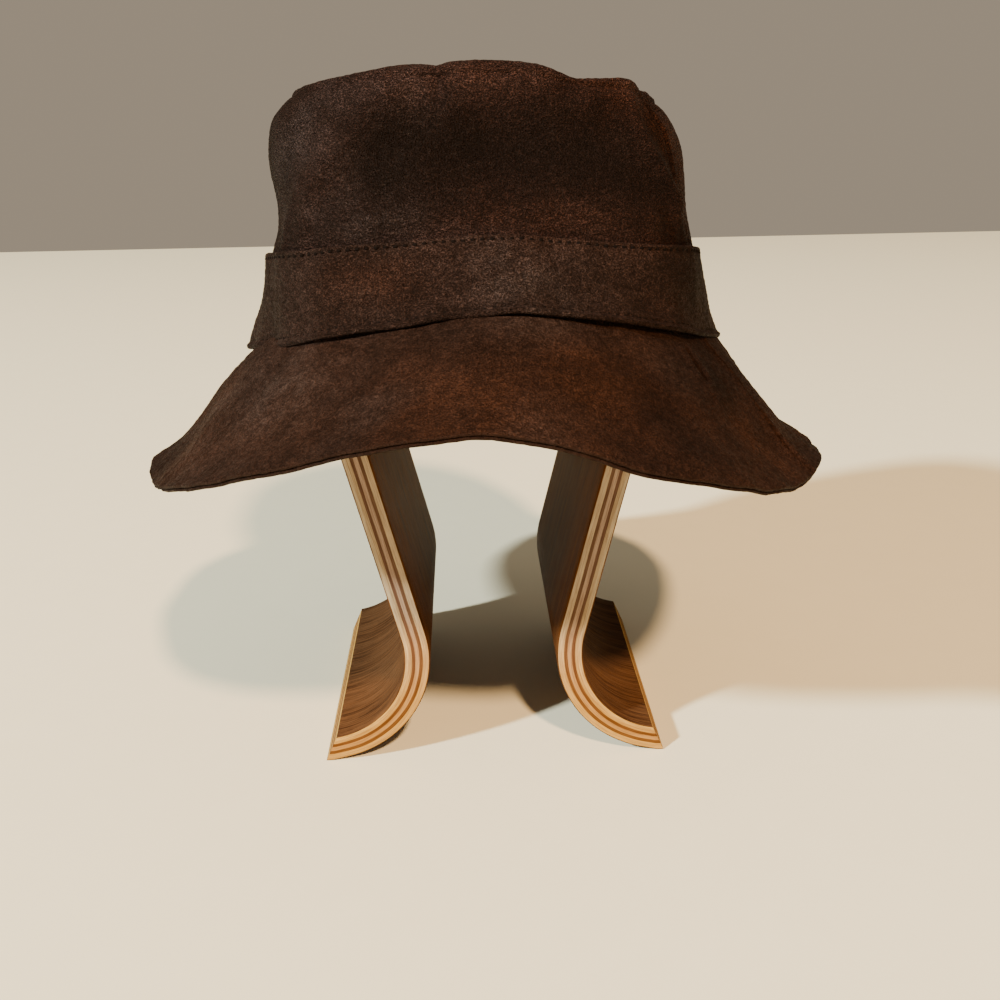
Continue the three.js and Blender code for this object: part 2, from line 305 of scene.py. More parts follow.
def brim_folds(p):
    lift = 0.75 * unevenness(p, 70, 11) + 0.25 * unevenness(p, 24, 12)
    for crease in CREASES:
        away = near_line(p, crease)
        lift += 0.35 * bell(away, 2.6, 1.2) - 0.9 * bell(away, 0, 0.9)
    return lift


def crown_grain(p):
    flat = p * np.array([1.0, 1.0, 2.0])
    fine = 1 - np.abs(unevenness(flat, 5.5, 21, 40))
    return 0.07 * fine + 0.05 * unevenness(flat, 3.0, 22, 40)


def brim_grain(p):
    flat = p * np.array([0.7, 1.6, 1.6])
    return 0.05 * unevenness(flat, 5.0, 31, 40) + 0.03 * unevenness(flat, 2.6, 32, 40)


def frame_of(grid, ring):
    down = np.gradient(grid, axis=0)
    if ring:
        around = np.roll(grid, -1, 1) - np.roll(grid, 1, 1)
    else:
        around = np.gradient(grid, axis=1)
    length = np.linalg.norm(around, axis=-1, keepdims=True)
    around = around / np.maximum(length, 1e-9)
    down /= np.maximum(np.linalg.norm(down, axis=-1, keepdims=True), 1e-9)
    normal = np.cross(down, around)
    normal /= np.maximum(np.linalg.norm(normal, axis=-1, keepdims=True), 1e-9)
    return down, around, normal


def link_mesh(name, vertices, faces, replaced, attributes, sharp=None):
    mesh = bpy.data.meshes.new(name)
    vertices = np.asarray(vertices, float)
    mesh.vertices.add(len(vertices))
    mesh.vertices.foreach_set("co", ((vertices + SHIFT) * MM).ravel())
    sizes = np.array([len(f) for f in faces], np.int32)
    flat = np.concatenate([np.asarray(f, np.int32) for f in faces])
    mesh.loops.add(len(flat))
    mesh.loops.foreach_set("vertex_index", flat)
    mesh.polygons.add(len(faces))
    starts = np.concatenate([[0], np.cumsum(sizes)[:-1]]).astype(np.int32)
    mesh.polygons.foreach_set("loop_start", starts)
    mesh.update(calc_edges=True)
    mesh.validate()
    for key, values in attributes.items():
        layer = mesh.attributes.new(key, "FLOAT", "POINT")
        layer.data.foreach_set("value", np.asarray(values, np.float32).ravel())
    mesh.polygons.foreach_set("use_smooth", np.ones(len(mesh.polygons), bool))
    if sharp is not None:
        mesh.set_sharp_from_angle(angle=sharp)
    piece = bpy.data.objects.new(name, mesh)
    bpy.context.scene.collection.objects.link(piece)
    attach(piece, "root")
    if replaced:
        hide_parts(*replaced)
    return piece


# Half round from one face of the leather to the other.
def rounded(start, end, outward):
    middle, arm = (start + end) / 2, (start - end) / 2
    reach = np.linalg.norm(arm, axis=-1, keepdims=True) * outward
    return np.array([middle + math.cos(a) * arm + math.sin(a) * reach for a in ROUNDING])


# The band run on past its seam, and drawn nearly straight from top to hem.
def hem(grid, stations, azimuth, drop, ring):
    down, _, normal = frame_of(grid, ring)
    reach = np.linspace(0, drop, int(HEM_ROWS * FINE) // 4 * 4 + 1)[1:, None, None]
    open_front = 0.02 + 0.52 * ramp(-np.sin(azimuth), 0.25, 0.8)
    flare = open_front[None, :, None] * reach * ramp(reach, 0, 1.5)
    grid = np.concatenate([grid, grid[-1] + down[-1] * reach + normal[-1] * flare])
    stations = np.concatenate([stations, stations[-1] + 0.03 * reach[:, 0, 0]])
    share = np.linspace(0, 1, len(grid))[:, None, None]
    return 0.3 * grid + 0.7 * ((1 - share) * grid[0] + share * grid[-1]), stations


# A piece of leather with rounded edges: rows of stations on the outer face,
# the same rows thinned out on the inner face.
def leather(name, order, rows, span, outer, inner, trims, folds, grain, replaced, shape, drop=0):
    top_trim, bottom_trim = trims
    ring = span == "ring"
    count = int((RING_COLUMNS if ring else HALF_COLUMNS) * FINE)
    start = SEAM_AZIMUTH + (math.pi if span == "front" else 0)
    turn = 2 * math.pi if ring else math.pi
    azimuth = start + turn * np.arange(count if ring else count + 1) / count
    first, last, row_count = rows
    row_count = int(row_count * FINE) // 4 * 4
    stations = np.linspace(first, last, row_count + 1)
    grid = run_grid(order, stations, azimuth)
    if drop:
        grid, stations = hem(grid, stations, azimuth, drop, ring)
    normal = frame_of(grid, ring)[2]
    half = (outer - inner) / 2
    pole = order is CROWN and first == 0
    if pole:
        normal[0] = np.array([0, 0, 1.0])
    if order is BRIM:
        grid = settle(grid, stations, azimuth)
    grid = grid + normal * folds(grid)[..., None]
    if order is CROWN and not drop:
        grid = drape(grid)
    if pole:
        grid[0] = grid[0].mean(0)
    down, around, normal = frame_of(grid, ring)
    if pole:
        normal[0] = np.array([0, 0, 1.0])
    else:
        pull = np.linspace(1, 0, TRIM_ROWS)[:, None, None] ** 2
        grid[:TRIM_ROWS] += down[0] * (top_trim + half) * pull
    pull = np.linspace(0, 1, TRIM_ROWS)[:, None, None] ** 2
    frayed = 0
    if order is BRIM:
        edge = grid[-1]
        frayed = (0.07 * unevenness(edge, 8, 61) + 0.05 * unevenness(edge, 3, 62 + len(name)))[:, None]
    grid[-TRIM_ROWS:] -= down[-1] * (bottom_trim + half + frayed) * pull
    if not ring:
        pull = np.linspace(1, 0, TRIM_COLUMNS)[None, :, None] ** 2
        grid[:, :TRIM_COLUMNS] += around[:, :1] * (SEAM_GAP / 2) * pull
        grid[:, -TRIM_COLUMNS:] -= around[:, -1:] * (SEAM_GAP / 2) * pull[:, ::-1]
    lift = shape(grid, stations, azimuth) if shape else np.zeros(grid.shape[:2])
    face = grid + normal * (outer + lift + grain(grid))[..., None]
    lining = (grid + normal * (inner + lift)[..., None])[::LINING_STEP]
    loops = [face, rounded(face[-1], lining[-1], down[-1]), lining[::-1]]
    sides = [np.ones(len(face)), ROUNDING_SIDES, np.zeros(len(lining))]
    if not pole:
        loops.append(rounded(lining[0], face[0], -down[0]))
        sides.append(ROUNDING_SIDES[::-1])
    points = np.concatenate(loops)
    total, columns = points.shape[:2]
    index = np.arange(total * columns).reshape(total, columns)
    quads = []
    for i in range(total - 1 if pole else total):
        a, b = index[i], index[(i + 1) % total]
        if ring:
            quads.append(np.stack([a, b, np.roll(b, -1), np.roll(a, -1)], -1))
        else:
            quads.append(np.stack([a[:-1], b[:-1], b[1:], a[1:]], -1))
    faces = [tuple(q) for q in np.concatenate(quads).tolist()]
    if not ring:
        faces += seam_ends(index, len(face), len(lining), columns)
    side_all = np.repeat(np.concatenate(sides)[:, None], columns, 1)
    flat = points.reshape(-1, 3)
    # The tone carries painted shade and painted highlight, and the paleness carries a painted grey sheen.
    # Both go to the suede material as attributes.
    tone, warm, pale_sheen = tint(flat)
    attributes = {"side": side_all, "tone": tone, "warm": warm, "pale_sheen": pale_sheen}
    return link_mesh(name, flat, faces, replaced, attributes), face, normal


# Faces that close a half piece along its two side seams.
def seam_ends(index, outer_rows, inner_rows, columns):
    inner = outer_rows + len(ROUNDING)
    top_round = inner + inner_rows
    ends = []
    for column, flip in ((0, True), (columns - 1, False)):
        line = index[:, column]
        loops = []
        for j in range(inner_rows - 1):
            outside = [line[LINING_STEP * j + i] for i in range(LINING_STEP + 1)]
            loops.append(outside + [line[inner + inner_rows - 2 - j], line[inner + inner_rows - 1 - j]])
        loops.append([line[outer_rows - 1 + i] for i in range(len(ROUNDING) + 2)])
        loops.append([line[top_round - 1 + i] for i in range(len(ROUNDING) + 1)] + [line[0]])
        ends += [tuple(loop[::-1] if flip else loop) for loop in loops]
    return ends


# Where the suede is darker or lighter, warmer, or paler: place, spread
# across and up, tone, warmth, paleness. The tone is mostly painted shade and
# painted highlight. Painted shade sits in the hollow of the crown front, at the ends
# of the band and on the right of the brim. Painted highlight sits on the crown's top
# rim, its upturned lower strip and its left shoulder. The crown front is also somewhat
# darker leather. The paleness is a painted grey sheen.
PATCHES = (
    (0, -70, 223, 27, 10, -0.62, 0.0, 0.1),
    (-32, -69, 218, 14, 12, -0.58, 0.0, 0.5),
    (32, -70, 214, 17, 11, -0.28, 0.0, 0.1),
    (-56, -52, 226, 12, 12, 0.50, 0.0, 0.8),
    (6, -62, 243, 36, 5, 0.95, 0.35, 0.25),
    (-25, -64, 240, 10, 4, 0.1, 0.1, 0.2),
    (45, -52, 237, 11, 7, 0.35, 0.7, 0.0),
    (67, -38, 222, 9, 19, 0.15, 1.4, 0.0),
    (20, -74, 200, 30, 5, 0.40, 0.45, 0.15),
    (-42, -72, 201, 17, 6, 0.15, 0.0, 0.9),
    (-64, -60, 180, 14, 12, -0.36, 0.2, 0.35),
    (-32, -82, 184, 12, 6, -0.10, 0.7, 0.0),
    (14, -86, 184, 28, 8, 0.12, 0.0, 0.6),
    (72, -58, 178, 20, 17, -0.78, 1.0, 0.0),
    (10, -128, 160, 32, 11, 0.05, 0.75, 0.0),
    (52, -106, 150, 22, 13, -0.28, 0.4, 0.0),
    (0, -101, 171, 26, 4, -0.12, 0.0, 0.2),
    (-60, -90, 152, 22, 12, 0.05, 0.0, 0.8),
    (-94, -84, 131, 16, 10, 0.05, 0.35, 0.35),
    (90, -97, 131, 16, 9, 0.25, 0.9, 0.0),
    (80, -84, 140, 20, 14, -0.36, 0.2, 0.0),
)


# Per point: tone (a little random unevenness, plus the painted shade and painted highlight of the patches),
# warmth, and paleness (a painted grey sheen).
def tint(p):
    x, y, z = p[:, 0], p[:, 1], p[:, 2]
    tone = 1 + 0.07 * unevenness(p, 26, 43)
    warm = 0.22 * np.clip(unevenness(p, 60, 41), 0, 2)
    pale_sheen = 0.20 * np.clip(unevenness(p, 45, 42), 0, 2)
    # Each patch adds painted shade or painted highlight to the tone, and painted sheen to the paleness.
    for px, py, pz, across, up, dark, heat, painted_sheen in PATCHES:
        away = ((x - px) / across) ** 2 + ((y - py) / across) ** 2 + ((z - pz) / up) ** 2
        near = np.exp(-0.5 * away)
        tone += dark * near
        warm += heat * near
        pale_sheen += painted_sheen * near
    return np.clip(tone, 0.2, 2), np.clip(warm, 0, 1), np.clip(pale_sheen, 0, 1)


def band_shape(grid, stations, azimuth):
    t = np.linspace(0, 1, len(stations))[:, None]
    lower = 0.5 * ramp(t, 0.90, 1.0) + 0.3 * bell(t, 0.965, 0.02)
    upper = 0.25 * bell(t, 0.0, 0.03)
    groove = -0.22 * bell(t, TOP_ROW, 0.012) - 0.22 * bell(t, BOTTOM_ROW, 0.012)
    pucker = 0.10 * np.sin(azimuth * 186)[None, :] * (bell(t, TOP_ROW, 0.03) + bell(t, BOTTOM_ROW, 0.03))
    return lower + upper + groove + pucker + 0.18 * unevenness(grid, 30, 7)


def turned(azimuth, degrees, spread):
    away = (np.degrees(azimuth) - degrees + 180) % 360 - 180
    return bell(away, 0, spread)[None, :]


def tip_shape(grid, stations, azimuth):
    t = ((stations - stations[0]) / (stations[-1] - stations[0]))[:, None]
    lip = 0.5 * ramp(t, 0.88, 1.0) * turned(azimuth, -40, 12)
    return 0.5 * bell(t, 0.985, 0.02) + lip


def side_seam(grid, azimuth, height):
    reach = np.hypot(grid[..., 0], grid[..., 1])
    turn = (azimuth - SEAM_AZIMUTH + math.pi / 2) % math.pi - math.pi / 2
    away = turn[None, :] * reach
    return height * (bell(np.abs(away), 2.0, 0.9) - 1.1 * bell(away, 0, 0.7))


def wall_shape(grid, stations, azimuth):
    at = stations[:, None]
    welt = 0.7 * bell(at, 3.04, 0.07) - 0.5 * bell(at, 3.2, 0.06)
    welt = welt - 0.5 * bell(at, 3.25, 0.14) * turned(azimuth, -42, 12)
    return welt + side_seam(grid, azimuth, 0.35)


# Hang of the brim: its front edge higher, its two ends lower and drawn in.
def settle(grid, stations, azimuth):
    out = stations[:, None] / 3
    front = ramp(-np.sin(azimuth), 0.1, 0.7)[None, :]
    rise = 2.1 + 1.0 * turned(azimuth, -112, 14) + 0.3 * turned(azimuth, -84, 9)
    rise = (rise + 1.6 * turned(azimuth, -66, 6)) * front
    rise = rise - 3.4 * turned(azimuth, -46, 15) - 2.4 * turned(azimuth, -146, 14)
    draw = 1.7 * turned(azimuth, -24, 21) * ramp(out, 0.3, 1.0)
    draw = draw + 1.5 * ramp(np.cos(2 * azimuth), 0.2, 0.9)[None, :] * bell(out, 0.05, 0.16)
    radial = grid * np.array([1.0, 1.0, 0.0])
    radial /= np.linalg.norm(radial, axis=-1, keepdims=True)
    grid = grid - draw[..., None] * radial
    grid[..., 2] += rise * ramp(out, 0.15, 1.0)
    return grid


def brim_shape(grid, stations, azimuth):
    lift = side_seam(grid, azimuth, 0.55)
    for k, place in enumerate((0.30, 0.47, 0.66, 0.86, 1.10)):
        waver = 0.05 * np.sin(7 * azimuth + 2 * k) + 0.03 * np.sin(17 * azimuth + k)
        strength = np.clip(0.5 + 0.6 * np.sin(5 * azimuth + 1.7 * k) + 0.4 * np.sin(11 * azimuth + k), 0, 1)
        lift -= 0.22 * strength[None, :] * bell(stations[:, None] - waver[None, :], place, 0.028)
    return lift


# Materials, all made of nodes.
class Nodes:
    def __init__(self, name):
        self.material = bpy.data.materials.new(name)
        self.material.use_nodes = True
        self.tree = self.material.node_tree
        self.shader = self.tree.nodes["Principled BSDF"]

    def node(self, kind, **values):
        made = self.tree.nodes.new(kind)
        for key, value in values.items():
            setattr(made, key, value)
        return made

    def link(self, source, target):
        self.tree.links.new(source, target)

    def math(self, operation, a, b=None, clamp=False):
        made = self.node("ShaderNodeMath", operation=operation, use_clamp=clamp)
        for socket, value in zip(made.inputs, (a, b)):
            if value is None:
                continue
            if isinstance(value, (int, float)):
                socket.default_value = value
            else:
                self.link(value, socket)
        return made.outputs[0]

    def noise(self, coordinates, scale, detail=4.0, roughness=0.6, distortion=0.0):
        made = self.node("ShaderNodeTexNoise")
        made.inputs["Scale"].default_value = scale
        made.inputs["Detail"].default_value = detail
        made.inputs["Roughness"].default_value = roughness
        made.inputs["Distortion"].default_value = distortion
        self.link(coordinates, made.inputs["Vector"])
        return made.outputs["Fac"]

    def stretch(self, coordinates, scale):
        made = self.node("ShaderNodeMapping")
        made.inputs["Scale"].default_value = scale
        self.link(coordinates, made.inputs["Vector"])
        return made.outputs[0]

    def remap(self, value, low, high, to_low=0.0, to_high=1.0):
        made = self.node("ShaderNodeMapRange", interpolation_type="SMOOTHSTEP")
        for key, number in zip(("From Min", "From Max", "To Min", "To Max"), (low, high, to_low, to_high)):
            made.inputs[key].default_value = number
        self.link(value, made.inputs["Value"])
        return made.outputs[0]

    def mix(self, factor, a, b, blend="MIX"):
        made = self.node("ShaderNodeMix", data_type="RGBA", blend_type=blend)
        for socket, value in ((made.inputs[0], factor), (made.inputs[6], a), (made.inputs[7], b)):
            if isinstance(value, (int, float)):
                socket.default_value = value
            elif isinstance(value, tuple):
                socket.default_value = (*value, 1.0)
            else:
                self.link(value, socket)
        return made.outputs[2]

    def attribute(self, name):
        return self.node("ShaderNodeAttribute", attribute_name=name).outputs["Fac"]

    def place(self):
        return self.node("ShaderNodeTexCoord").outputs["Object"]

    def bump(self, height, strength, distance, under=None):
        made = self.node("ShaderNodeBump")
        made.inputs["Strength"].default_value = strength
        made.inputs["Distance"].default_value = distance
        self.link(height, made.inputs["Height"])
        if under is not None:
            self.link(under, made.inputs["Normal"])
        return made.outputs[0]


# Suede. The grey colour and the fleck and speckle strengths paint a sheen and glints into the colour.
def suede(name, dark, brown, rust, sheen_grey, glint_flecks, wrinkle, raw, long, gloss, glint_speckle):
    n = Nodes(name)
    place = n.place()
    tone_and_painted_light, warm, pale_sheen = n.attribute("tone"), n.attribute("warm"), n.attribute("pale_sheen")
    big = n.noise(place, 22, 3)
    cloud = n.noise(place, 75, 5, 0.65)
    coarse = n.noise(n.stretch(place, (1.0, 1.0, long)), 400, 3, 0.6, 0.5)
    fine = n.noise(n.stretch(place, (1.0, 1.0, long)), 950, 3, 0.75, 0.3)
    grain = n.math("ADD", n.math("MULTIPLY", coarse, 0.45), n.math("MULTIPLY", fine, 0.55))
    nap = n.noise(place, 2600, 2, 0.7)
    tone = n.math("MULTIPLY", n.remap(n.math("ADD", big, n.math("MULTIPLY", cloud, 0.8)), 0.60, 1.20), 0.8)
    colour = n.mix(tone, dark, brown)
    heat = n.math("ADD", warm, n.math("MULTIPLY", tone, 0.15))
    heat = n.math("MULTIPLY", heat, n.remap(cloud, 0.35, 0.62, 0.5, 1.0))
    colour = n.mix(n.math("MULTIPLY", heat, 0.6, True), colour, rust)
    # Painted sheen: a pale grey haze is mixed into the colour where the paleness attribute is high. The
    # same haze also lowers the roughness below.
    sheen_haze = n.math("MULTIPLY", pale_sheen, n.remap(cloud, 0.38, 0.60, 0.35, 1.0))
    colour = n.mix(n.math("MULTIPLY", sheen_haze, 0.5, True), colour, sheen_grey)
    # Grain, times the tone attribute (painted shade and painted highlight), times fine noise. That noise
    # roughens the relief and also paints small bright glints and dark specks into the colour.
    grain_and_painted_light = n.math("MULTIPLY", n.remap(grain, 0.41, 0.60, 0.62, 1.28), tone_and_painted_light)
    grain_and_glints = n.noise(n.stretch(place, (1.0, 1.0, 1.4)), 1650, 1, 0.6)
    grain_and_painted_light = n.math("MULTIPLY", grain_and_painted_light, n.remap(grain_and_glints, 0.46, 0.68, 1 - 0.5 * glint_speckle, 1 + 1.5 * glint_speckle))
    shade = n.node("ShaderNodeCombineXYZ")
    for socket in shade.inputs:
        n.link(grain_and_painted_light, socket)
    colour = n.mix(1.0, colour, shade.outputs[0], "MULTIPLY")
    # Painted glints: pale grey specks on the raised grain, more where the paleness is high.
    painted_glint = n.math("ADD", n.math("MULTIPLY", pale_sheen, 0.8), glint_flecks)
    painted_glint = n.math("MULTIPLY", n.remap(grain, 0.57, 0.66), painted_glint)
    colour = n.mix(n.math("MULTIPLY", painted_glint, 0.6, True), colour, (0.050, 0.038, 0.033))
    if raw:
        cut = n.remap(n.attribute("side"), 0.95, 0.6)
        colour = n.mix(n.math("MULTIPLY", cut, raw), colour, (0.018, 0.0095, 0.007))
    n.link(colour, n.shader.inputs["Base Color"])
    rough = n.math("SUBTRACT", n.remap(grain, 0.38, 0.62, 0.82, 0.54), n.math("MULTIPLY", sheen_haze, 0.22))
    n.link(rough, n.shader.inputs["Roughness"])
    n.shader.inputs["Specular IOR Level"].default_value = gloss
    n.shader.inputs["Specular Tint"].default_value = (1.0, 0.70, 0.58, 1.0)
    n.shader.inputs["Sheen Weight"].default_value = 0.006
    n.shader.inputs["Sheen Roughness"].default_value = 0.45
    n.shader.inputs["Sheen Tint"].default_value = (0.85, 0.66, 0.55, 1.0)
    normal = n.bump(n.noise(place, 170, 3), 0.5, 0.0012)
    normal = n.bump(grain, wrinkle, 0.0030, normal)
    normal = n.bump(nap, 0.4, 0.00015, normal)
    normal = n.bump(grain_and_glints, min(1.0, glint_speckle), 0.0020, normal)
    n.link(normal, n.shader.inputs["Normal"])
    return n.material


def thread_material():
    n = Nodes("thread")
    place = n.place()
    twist = n.noise(place, 3000, 2)
    colour = n.mix(twist, (0.0012, 0.0008, 0.0007), (0.005, 0.003, 0.0024))
    n.link(colour, n.shader.inputs["Base Color"])
    n.link(n.remap(twist, 0.3, 0.7, 0.7, 0.9), n.shader.inputs["Roughness"])
    n.shader.inputs["Specular IOR Level"].default_value = 0.05
    n.link(n.bump(twist, 0.5, 0.0002), n.shader.inputs["Normal"])
    return n.material


# Plywood: veneer on the two broad faces, plies on the cut edges.
PLIES = (
    (0.000, (0.030, 0.015, 0.008)),
    (0.035, (0.400, 0.318, 0.225)),
    (0.275, (0.120, 0.068, 0.045)),
    (0.410, (0.320, 0.235, 0.185)),
    (0.570, (0.110, 0.060, 0.042)),
    (0.700, (0.340, 0.262, 0.175)),
    (0.830, (0.420, 0.345, 0.250)),
    (0.965, (0.030, 0.015, 0.008)),
)


def plywood():
    n = Nodes("plywood")
    run, across, ply = n.attribute("run"), n.attribute("across"), n.attribute("ply")
    low = n.attribute("low")
    joined = n.node("ShaderNodeCombineXYZ")
    n.link(run, joined.inputs[0])
    n.link(across, joined.inputs[1])
    n.link(n.math("MULTIPLY", ply, PLY), joined.inputs[2])
    spot = joined.outputs[0]
    # veneer: long streaks along the strip, open pores, and slow figure
    figure = n.noise(n.stretch(spot, (0.010, 0.14, 0.02)), 1.0, 3, 0.5, 0.2)
    streak = n.noise(n.stretch(spot, (0.030, 0.9, 0.2)), 1.0, 5, 0.7, 0.1)
    pores = n.noise(n.stretch(spot, (0.10, 2.6, 0.6)), 1.0, 3, 0.7)
    veneer = n.mix(n.remap(streak, 0.34, 0.64), (0.030, 0.0130, 0.0062), (0.108, 0.051, 0.022))
    veneer = n.mix(n.remap(figure, 0.42, 0.62, 0.0, 0.35), veneer, (0.125, 0.064, 0.030))
    veneer = n.mix(low, n.mix(1.0, veneer, (1.08, 0.68, 0.24), "MULTIPLY"), veneer)
    veneer = n.mix(n.remap(pores, 0.56, 0.68, 0.0, 0.75), veneer, (0.012, 0.006, 0.0035))
    # edges: plies with fibres along the strip, wavering a little in width
    waver = n.noise(n.stretch(spot, (0.05, 0.05, 0.05)), 1.0, 3)
    depth = n.math("ADD", ply, n.math("MULTIPLY", n.math("SUBTRACT", waver, 0.5), 0.035))
    bands = n.node("ShaderNodeValToRGB")
    bands.color_ramp.interpolation = "LINEAR"
    while len(bands.color_ramp.elements) > 1:
        bands.color_ramp.elements.remove(bands.color_ramp.elements[-1])
    stops = []
    for i, (at, colour) in enumerate(PLIES):
        end = PLIES[i + 1][0] if i + 1 < len(PLIES) else 1.0
        stops.append((at + (0.010 if i else 0.0), colour))
        stops.append((end - (0.010 if i + 1 < len(PLIES) else 0.0), colour))
    bands.color_ramp.elements[0].position = stops[0][0]
    bands.color_ramp.elements[0].color = (*stops[0][1], 1.0)
    for at, colour in stops[1:]:
        made = bands.color_ramp.elements.new(at)
        made.color = (*colour, 1.0)
    n.link(depth, bands.inputs[0])
    fibre = n.noise(n.stretch(spot, (0.12, 0.9, 3.2)), 1.0, 4, 0.7)
    fibre_tone = n.mix(n.remap(fibre, 0.3, 0.7), (0.62, 0.55, 0.50), (1.12, 1.1, 1.05))
    edge = n.mix(1.0, bands.outputs[0], fibre_tone, "MULTIPLY")
    edge = n.mix(low, edge, n.mix(1.0, edge, (1.06, 0.80, 0.32), "MULTIPLY"))
    broad = n.math("MAXIMUM", n.remap(ply, 0.030, 0.012), n.remap(ply, 0.970, 0.988))
    colour = n.mix(broad, edge, veneer)
    n.link(colour, n.shader.inputs["Base Color"])
    n.link(n.remap(n.math("ADD", streak, pores), 0.7, 1.4, 0.42, 0.6), n.shader.inputs["Roughness"])
    n.shader.inputs["Specular IOR Level"].default_value = 0.006
    relief = n.math("ADD", n.math("MULTIPLY", pores, -1.0), n.math("MULTIPLY", fibre, 0.5))
    n.link(n.bump(relief, 0.35, 0.0002), n.shader.inputs["Normal"])
    return n.material


# The stand's strip, followed from the right foot over the arch to the left.
def stand_paths():
    flat_run = FOOT_FLAT * math.cos(FOOT_SLOPE)
    bend_level = FOOT_BEND * math.cos(FOOT_SLOPE) + (FOOT_END - flat_run) * math.sin(FOOT_SLOPE)
    drop = (ARCH_CENTRE - bend_level) * math.sin(LEG_LEAN)
    bend_across = (ARCH_RADIUS + FOOT_BEND - PLY - drop) / math.cos(LEG_LEAN)
    along = np.array([math.cos(FOOT_SLOPE), -math.sin(FOOT_SLOPE)])
    toward = np.array([-math.sin(FOOT_SLOPE), -math.cos(FOOT_SLOPE)])
    centre = np.array([bend_across, bend_level])
    root = centre + FOOT_BEND * toward
    top = centre + (FOOT_BEND - PLY) * toward
    flat = root + (FOOT_END - flat_run) * along
    run = FOOT_END - FOOT_CUT
    under = [np.array([flat[0] + FOOT_FLAT, 0.0])]
    upper = [top + run * along]
    for t in (0.06, 0.25, 0.5, 0.75):
        under.append(under[0] * (1 - t) + flat * t)
        upper.append(upper[0] * (1 - t) + (top + 0.5 * run * along) * t)
    under.append(flat)
    upper.append(top + 0.5 * run * along)
    start, end = 1.5 * math.pi - FOOT_SLOPE, math.pi - LEG_LEAN
    for a in np.linspace(start, end, 49):
        ray = np.array([math.cos(a), math.sin(a)])
        under.append(centre + FOOT_BEND * ray)
        upper.append(centre + (FOOT_BEND - PLY) * ray)
    foot_end = len(under)
    arch = np.array([0.0, ARCH_CENTRE])
    rays = [np.array([math.cos(a), math.sin(a)]) for a in np.linspace(-LEG_LEAN, math.pi / 2, 61)]
    first_under, first_upper = arch + (ARCH_RADIUS - PLY) * rays[0], arch + ARCH_RADIUS * rays[0]
    for t in np.linspace(0, 1, 14)[1:-1]:
        under.append(under[foot_end - 1] * (1 - t) + first_under * t)
        upper.append(upper[foot_end - 1] * (1 - t) + first_upper * t)
    for ray in rays:
        under.append(arch + (ARCH_RADIUS - PLY) * ray)
        upper.append(arch + ARCH_RADIUS * ray)
    under, upper = np.array(under), np.array(upper)
    flip = np.array([-1.0, 1.0])
    under = np.concatenate([under, under[:-1][::-1] * flip])
    upper = np.concatenate([upper, upper[:-1][::-1] * flip])
    return under, upper


def make_stand():
    under, upper = stand_paths()
    middle = (under + upper) / 2
    run = np.concatenate([[0], np.cumsum(np.linalg.norm(np.diff(middle, axis=0), axis=1))])
    soft = EDGE_SOFTNESS
    half = STAND_DEPTH / 2
    corner = []
    for side in (-1, 1):
        angles = np.linspace(0, math.pi / 2, 4)
        one = [(side * (half - soft + soft * math.sin(a)), soft * (1 - math.cos(a))) for a in angles]
        corner.append(one)
    loop = []
    loop += [(y, o, 0) for y, o in corner[0]]
    loop += [(y, o, 1) for y, o in corner[0][::-1]]
    loop += [(y, 0.0, 1) for y in np.linspace(-half + 6, half - 6, 9)]
    loop += [(y, o, 1) for y, o in corner[1]]
    loop += [(y, o, 0) for y, o in corner[1][::-1]]
    loop += [(y, 0.0, 0) for y in np.linspace(half - 6, -half + 6, 9)]
    rows = []
    plies = []
    for i in range(len(under)):
        thick = np.linalg.norm(upper[i] - under[i])
        step = (upper[i] - under[i]) / thick
        row = []
        ply = []
        for y, inset, side in loop:
            from_side = upper[i] - step * inset if side else under[i] + step * inset
            row.append((from_side[0], y, from_side[1]))
            share = inset / thick * (0.04 if inset < soft * 0.6 else 1.0)
            ply.append(1 - share if side else share)
        rows.append(row)
        plies.append(ply)
    points = np.array(rows)
    total, columns = points.shape[:2]
    index = np.arange(total * columns).reshape(total, columns)
    faces = []
    for i in range(total - 1):
        a, b = index[i], index[i + 1]
        faces += [tuple(q) for q in np.stack([a, np.roll(a, -1), np.roll(b, -1), b], -1).tolist()]
    faces.append(tuple(index[0][::-1].tolist()))
    faces.append(tuple(index[-1].tolist()))
    run_all = np.repeat(run[:, None], columns, 1)
    low = ramp(-points[..., 2], -75, -15)
    attributes = {"run": run_all, "across": points[..., 1], "ply": np.array(plies), "low": low}
    piece = link_mesh("bent_plywood_stand", points.reshape(-1, 3), faces, ["stand"], attributes,
                      sharp=math.radians(50))
    piece.data.materials.append(plywood())


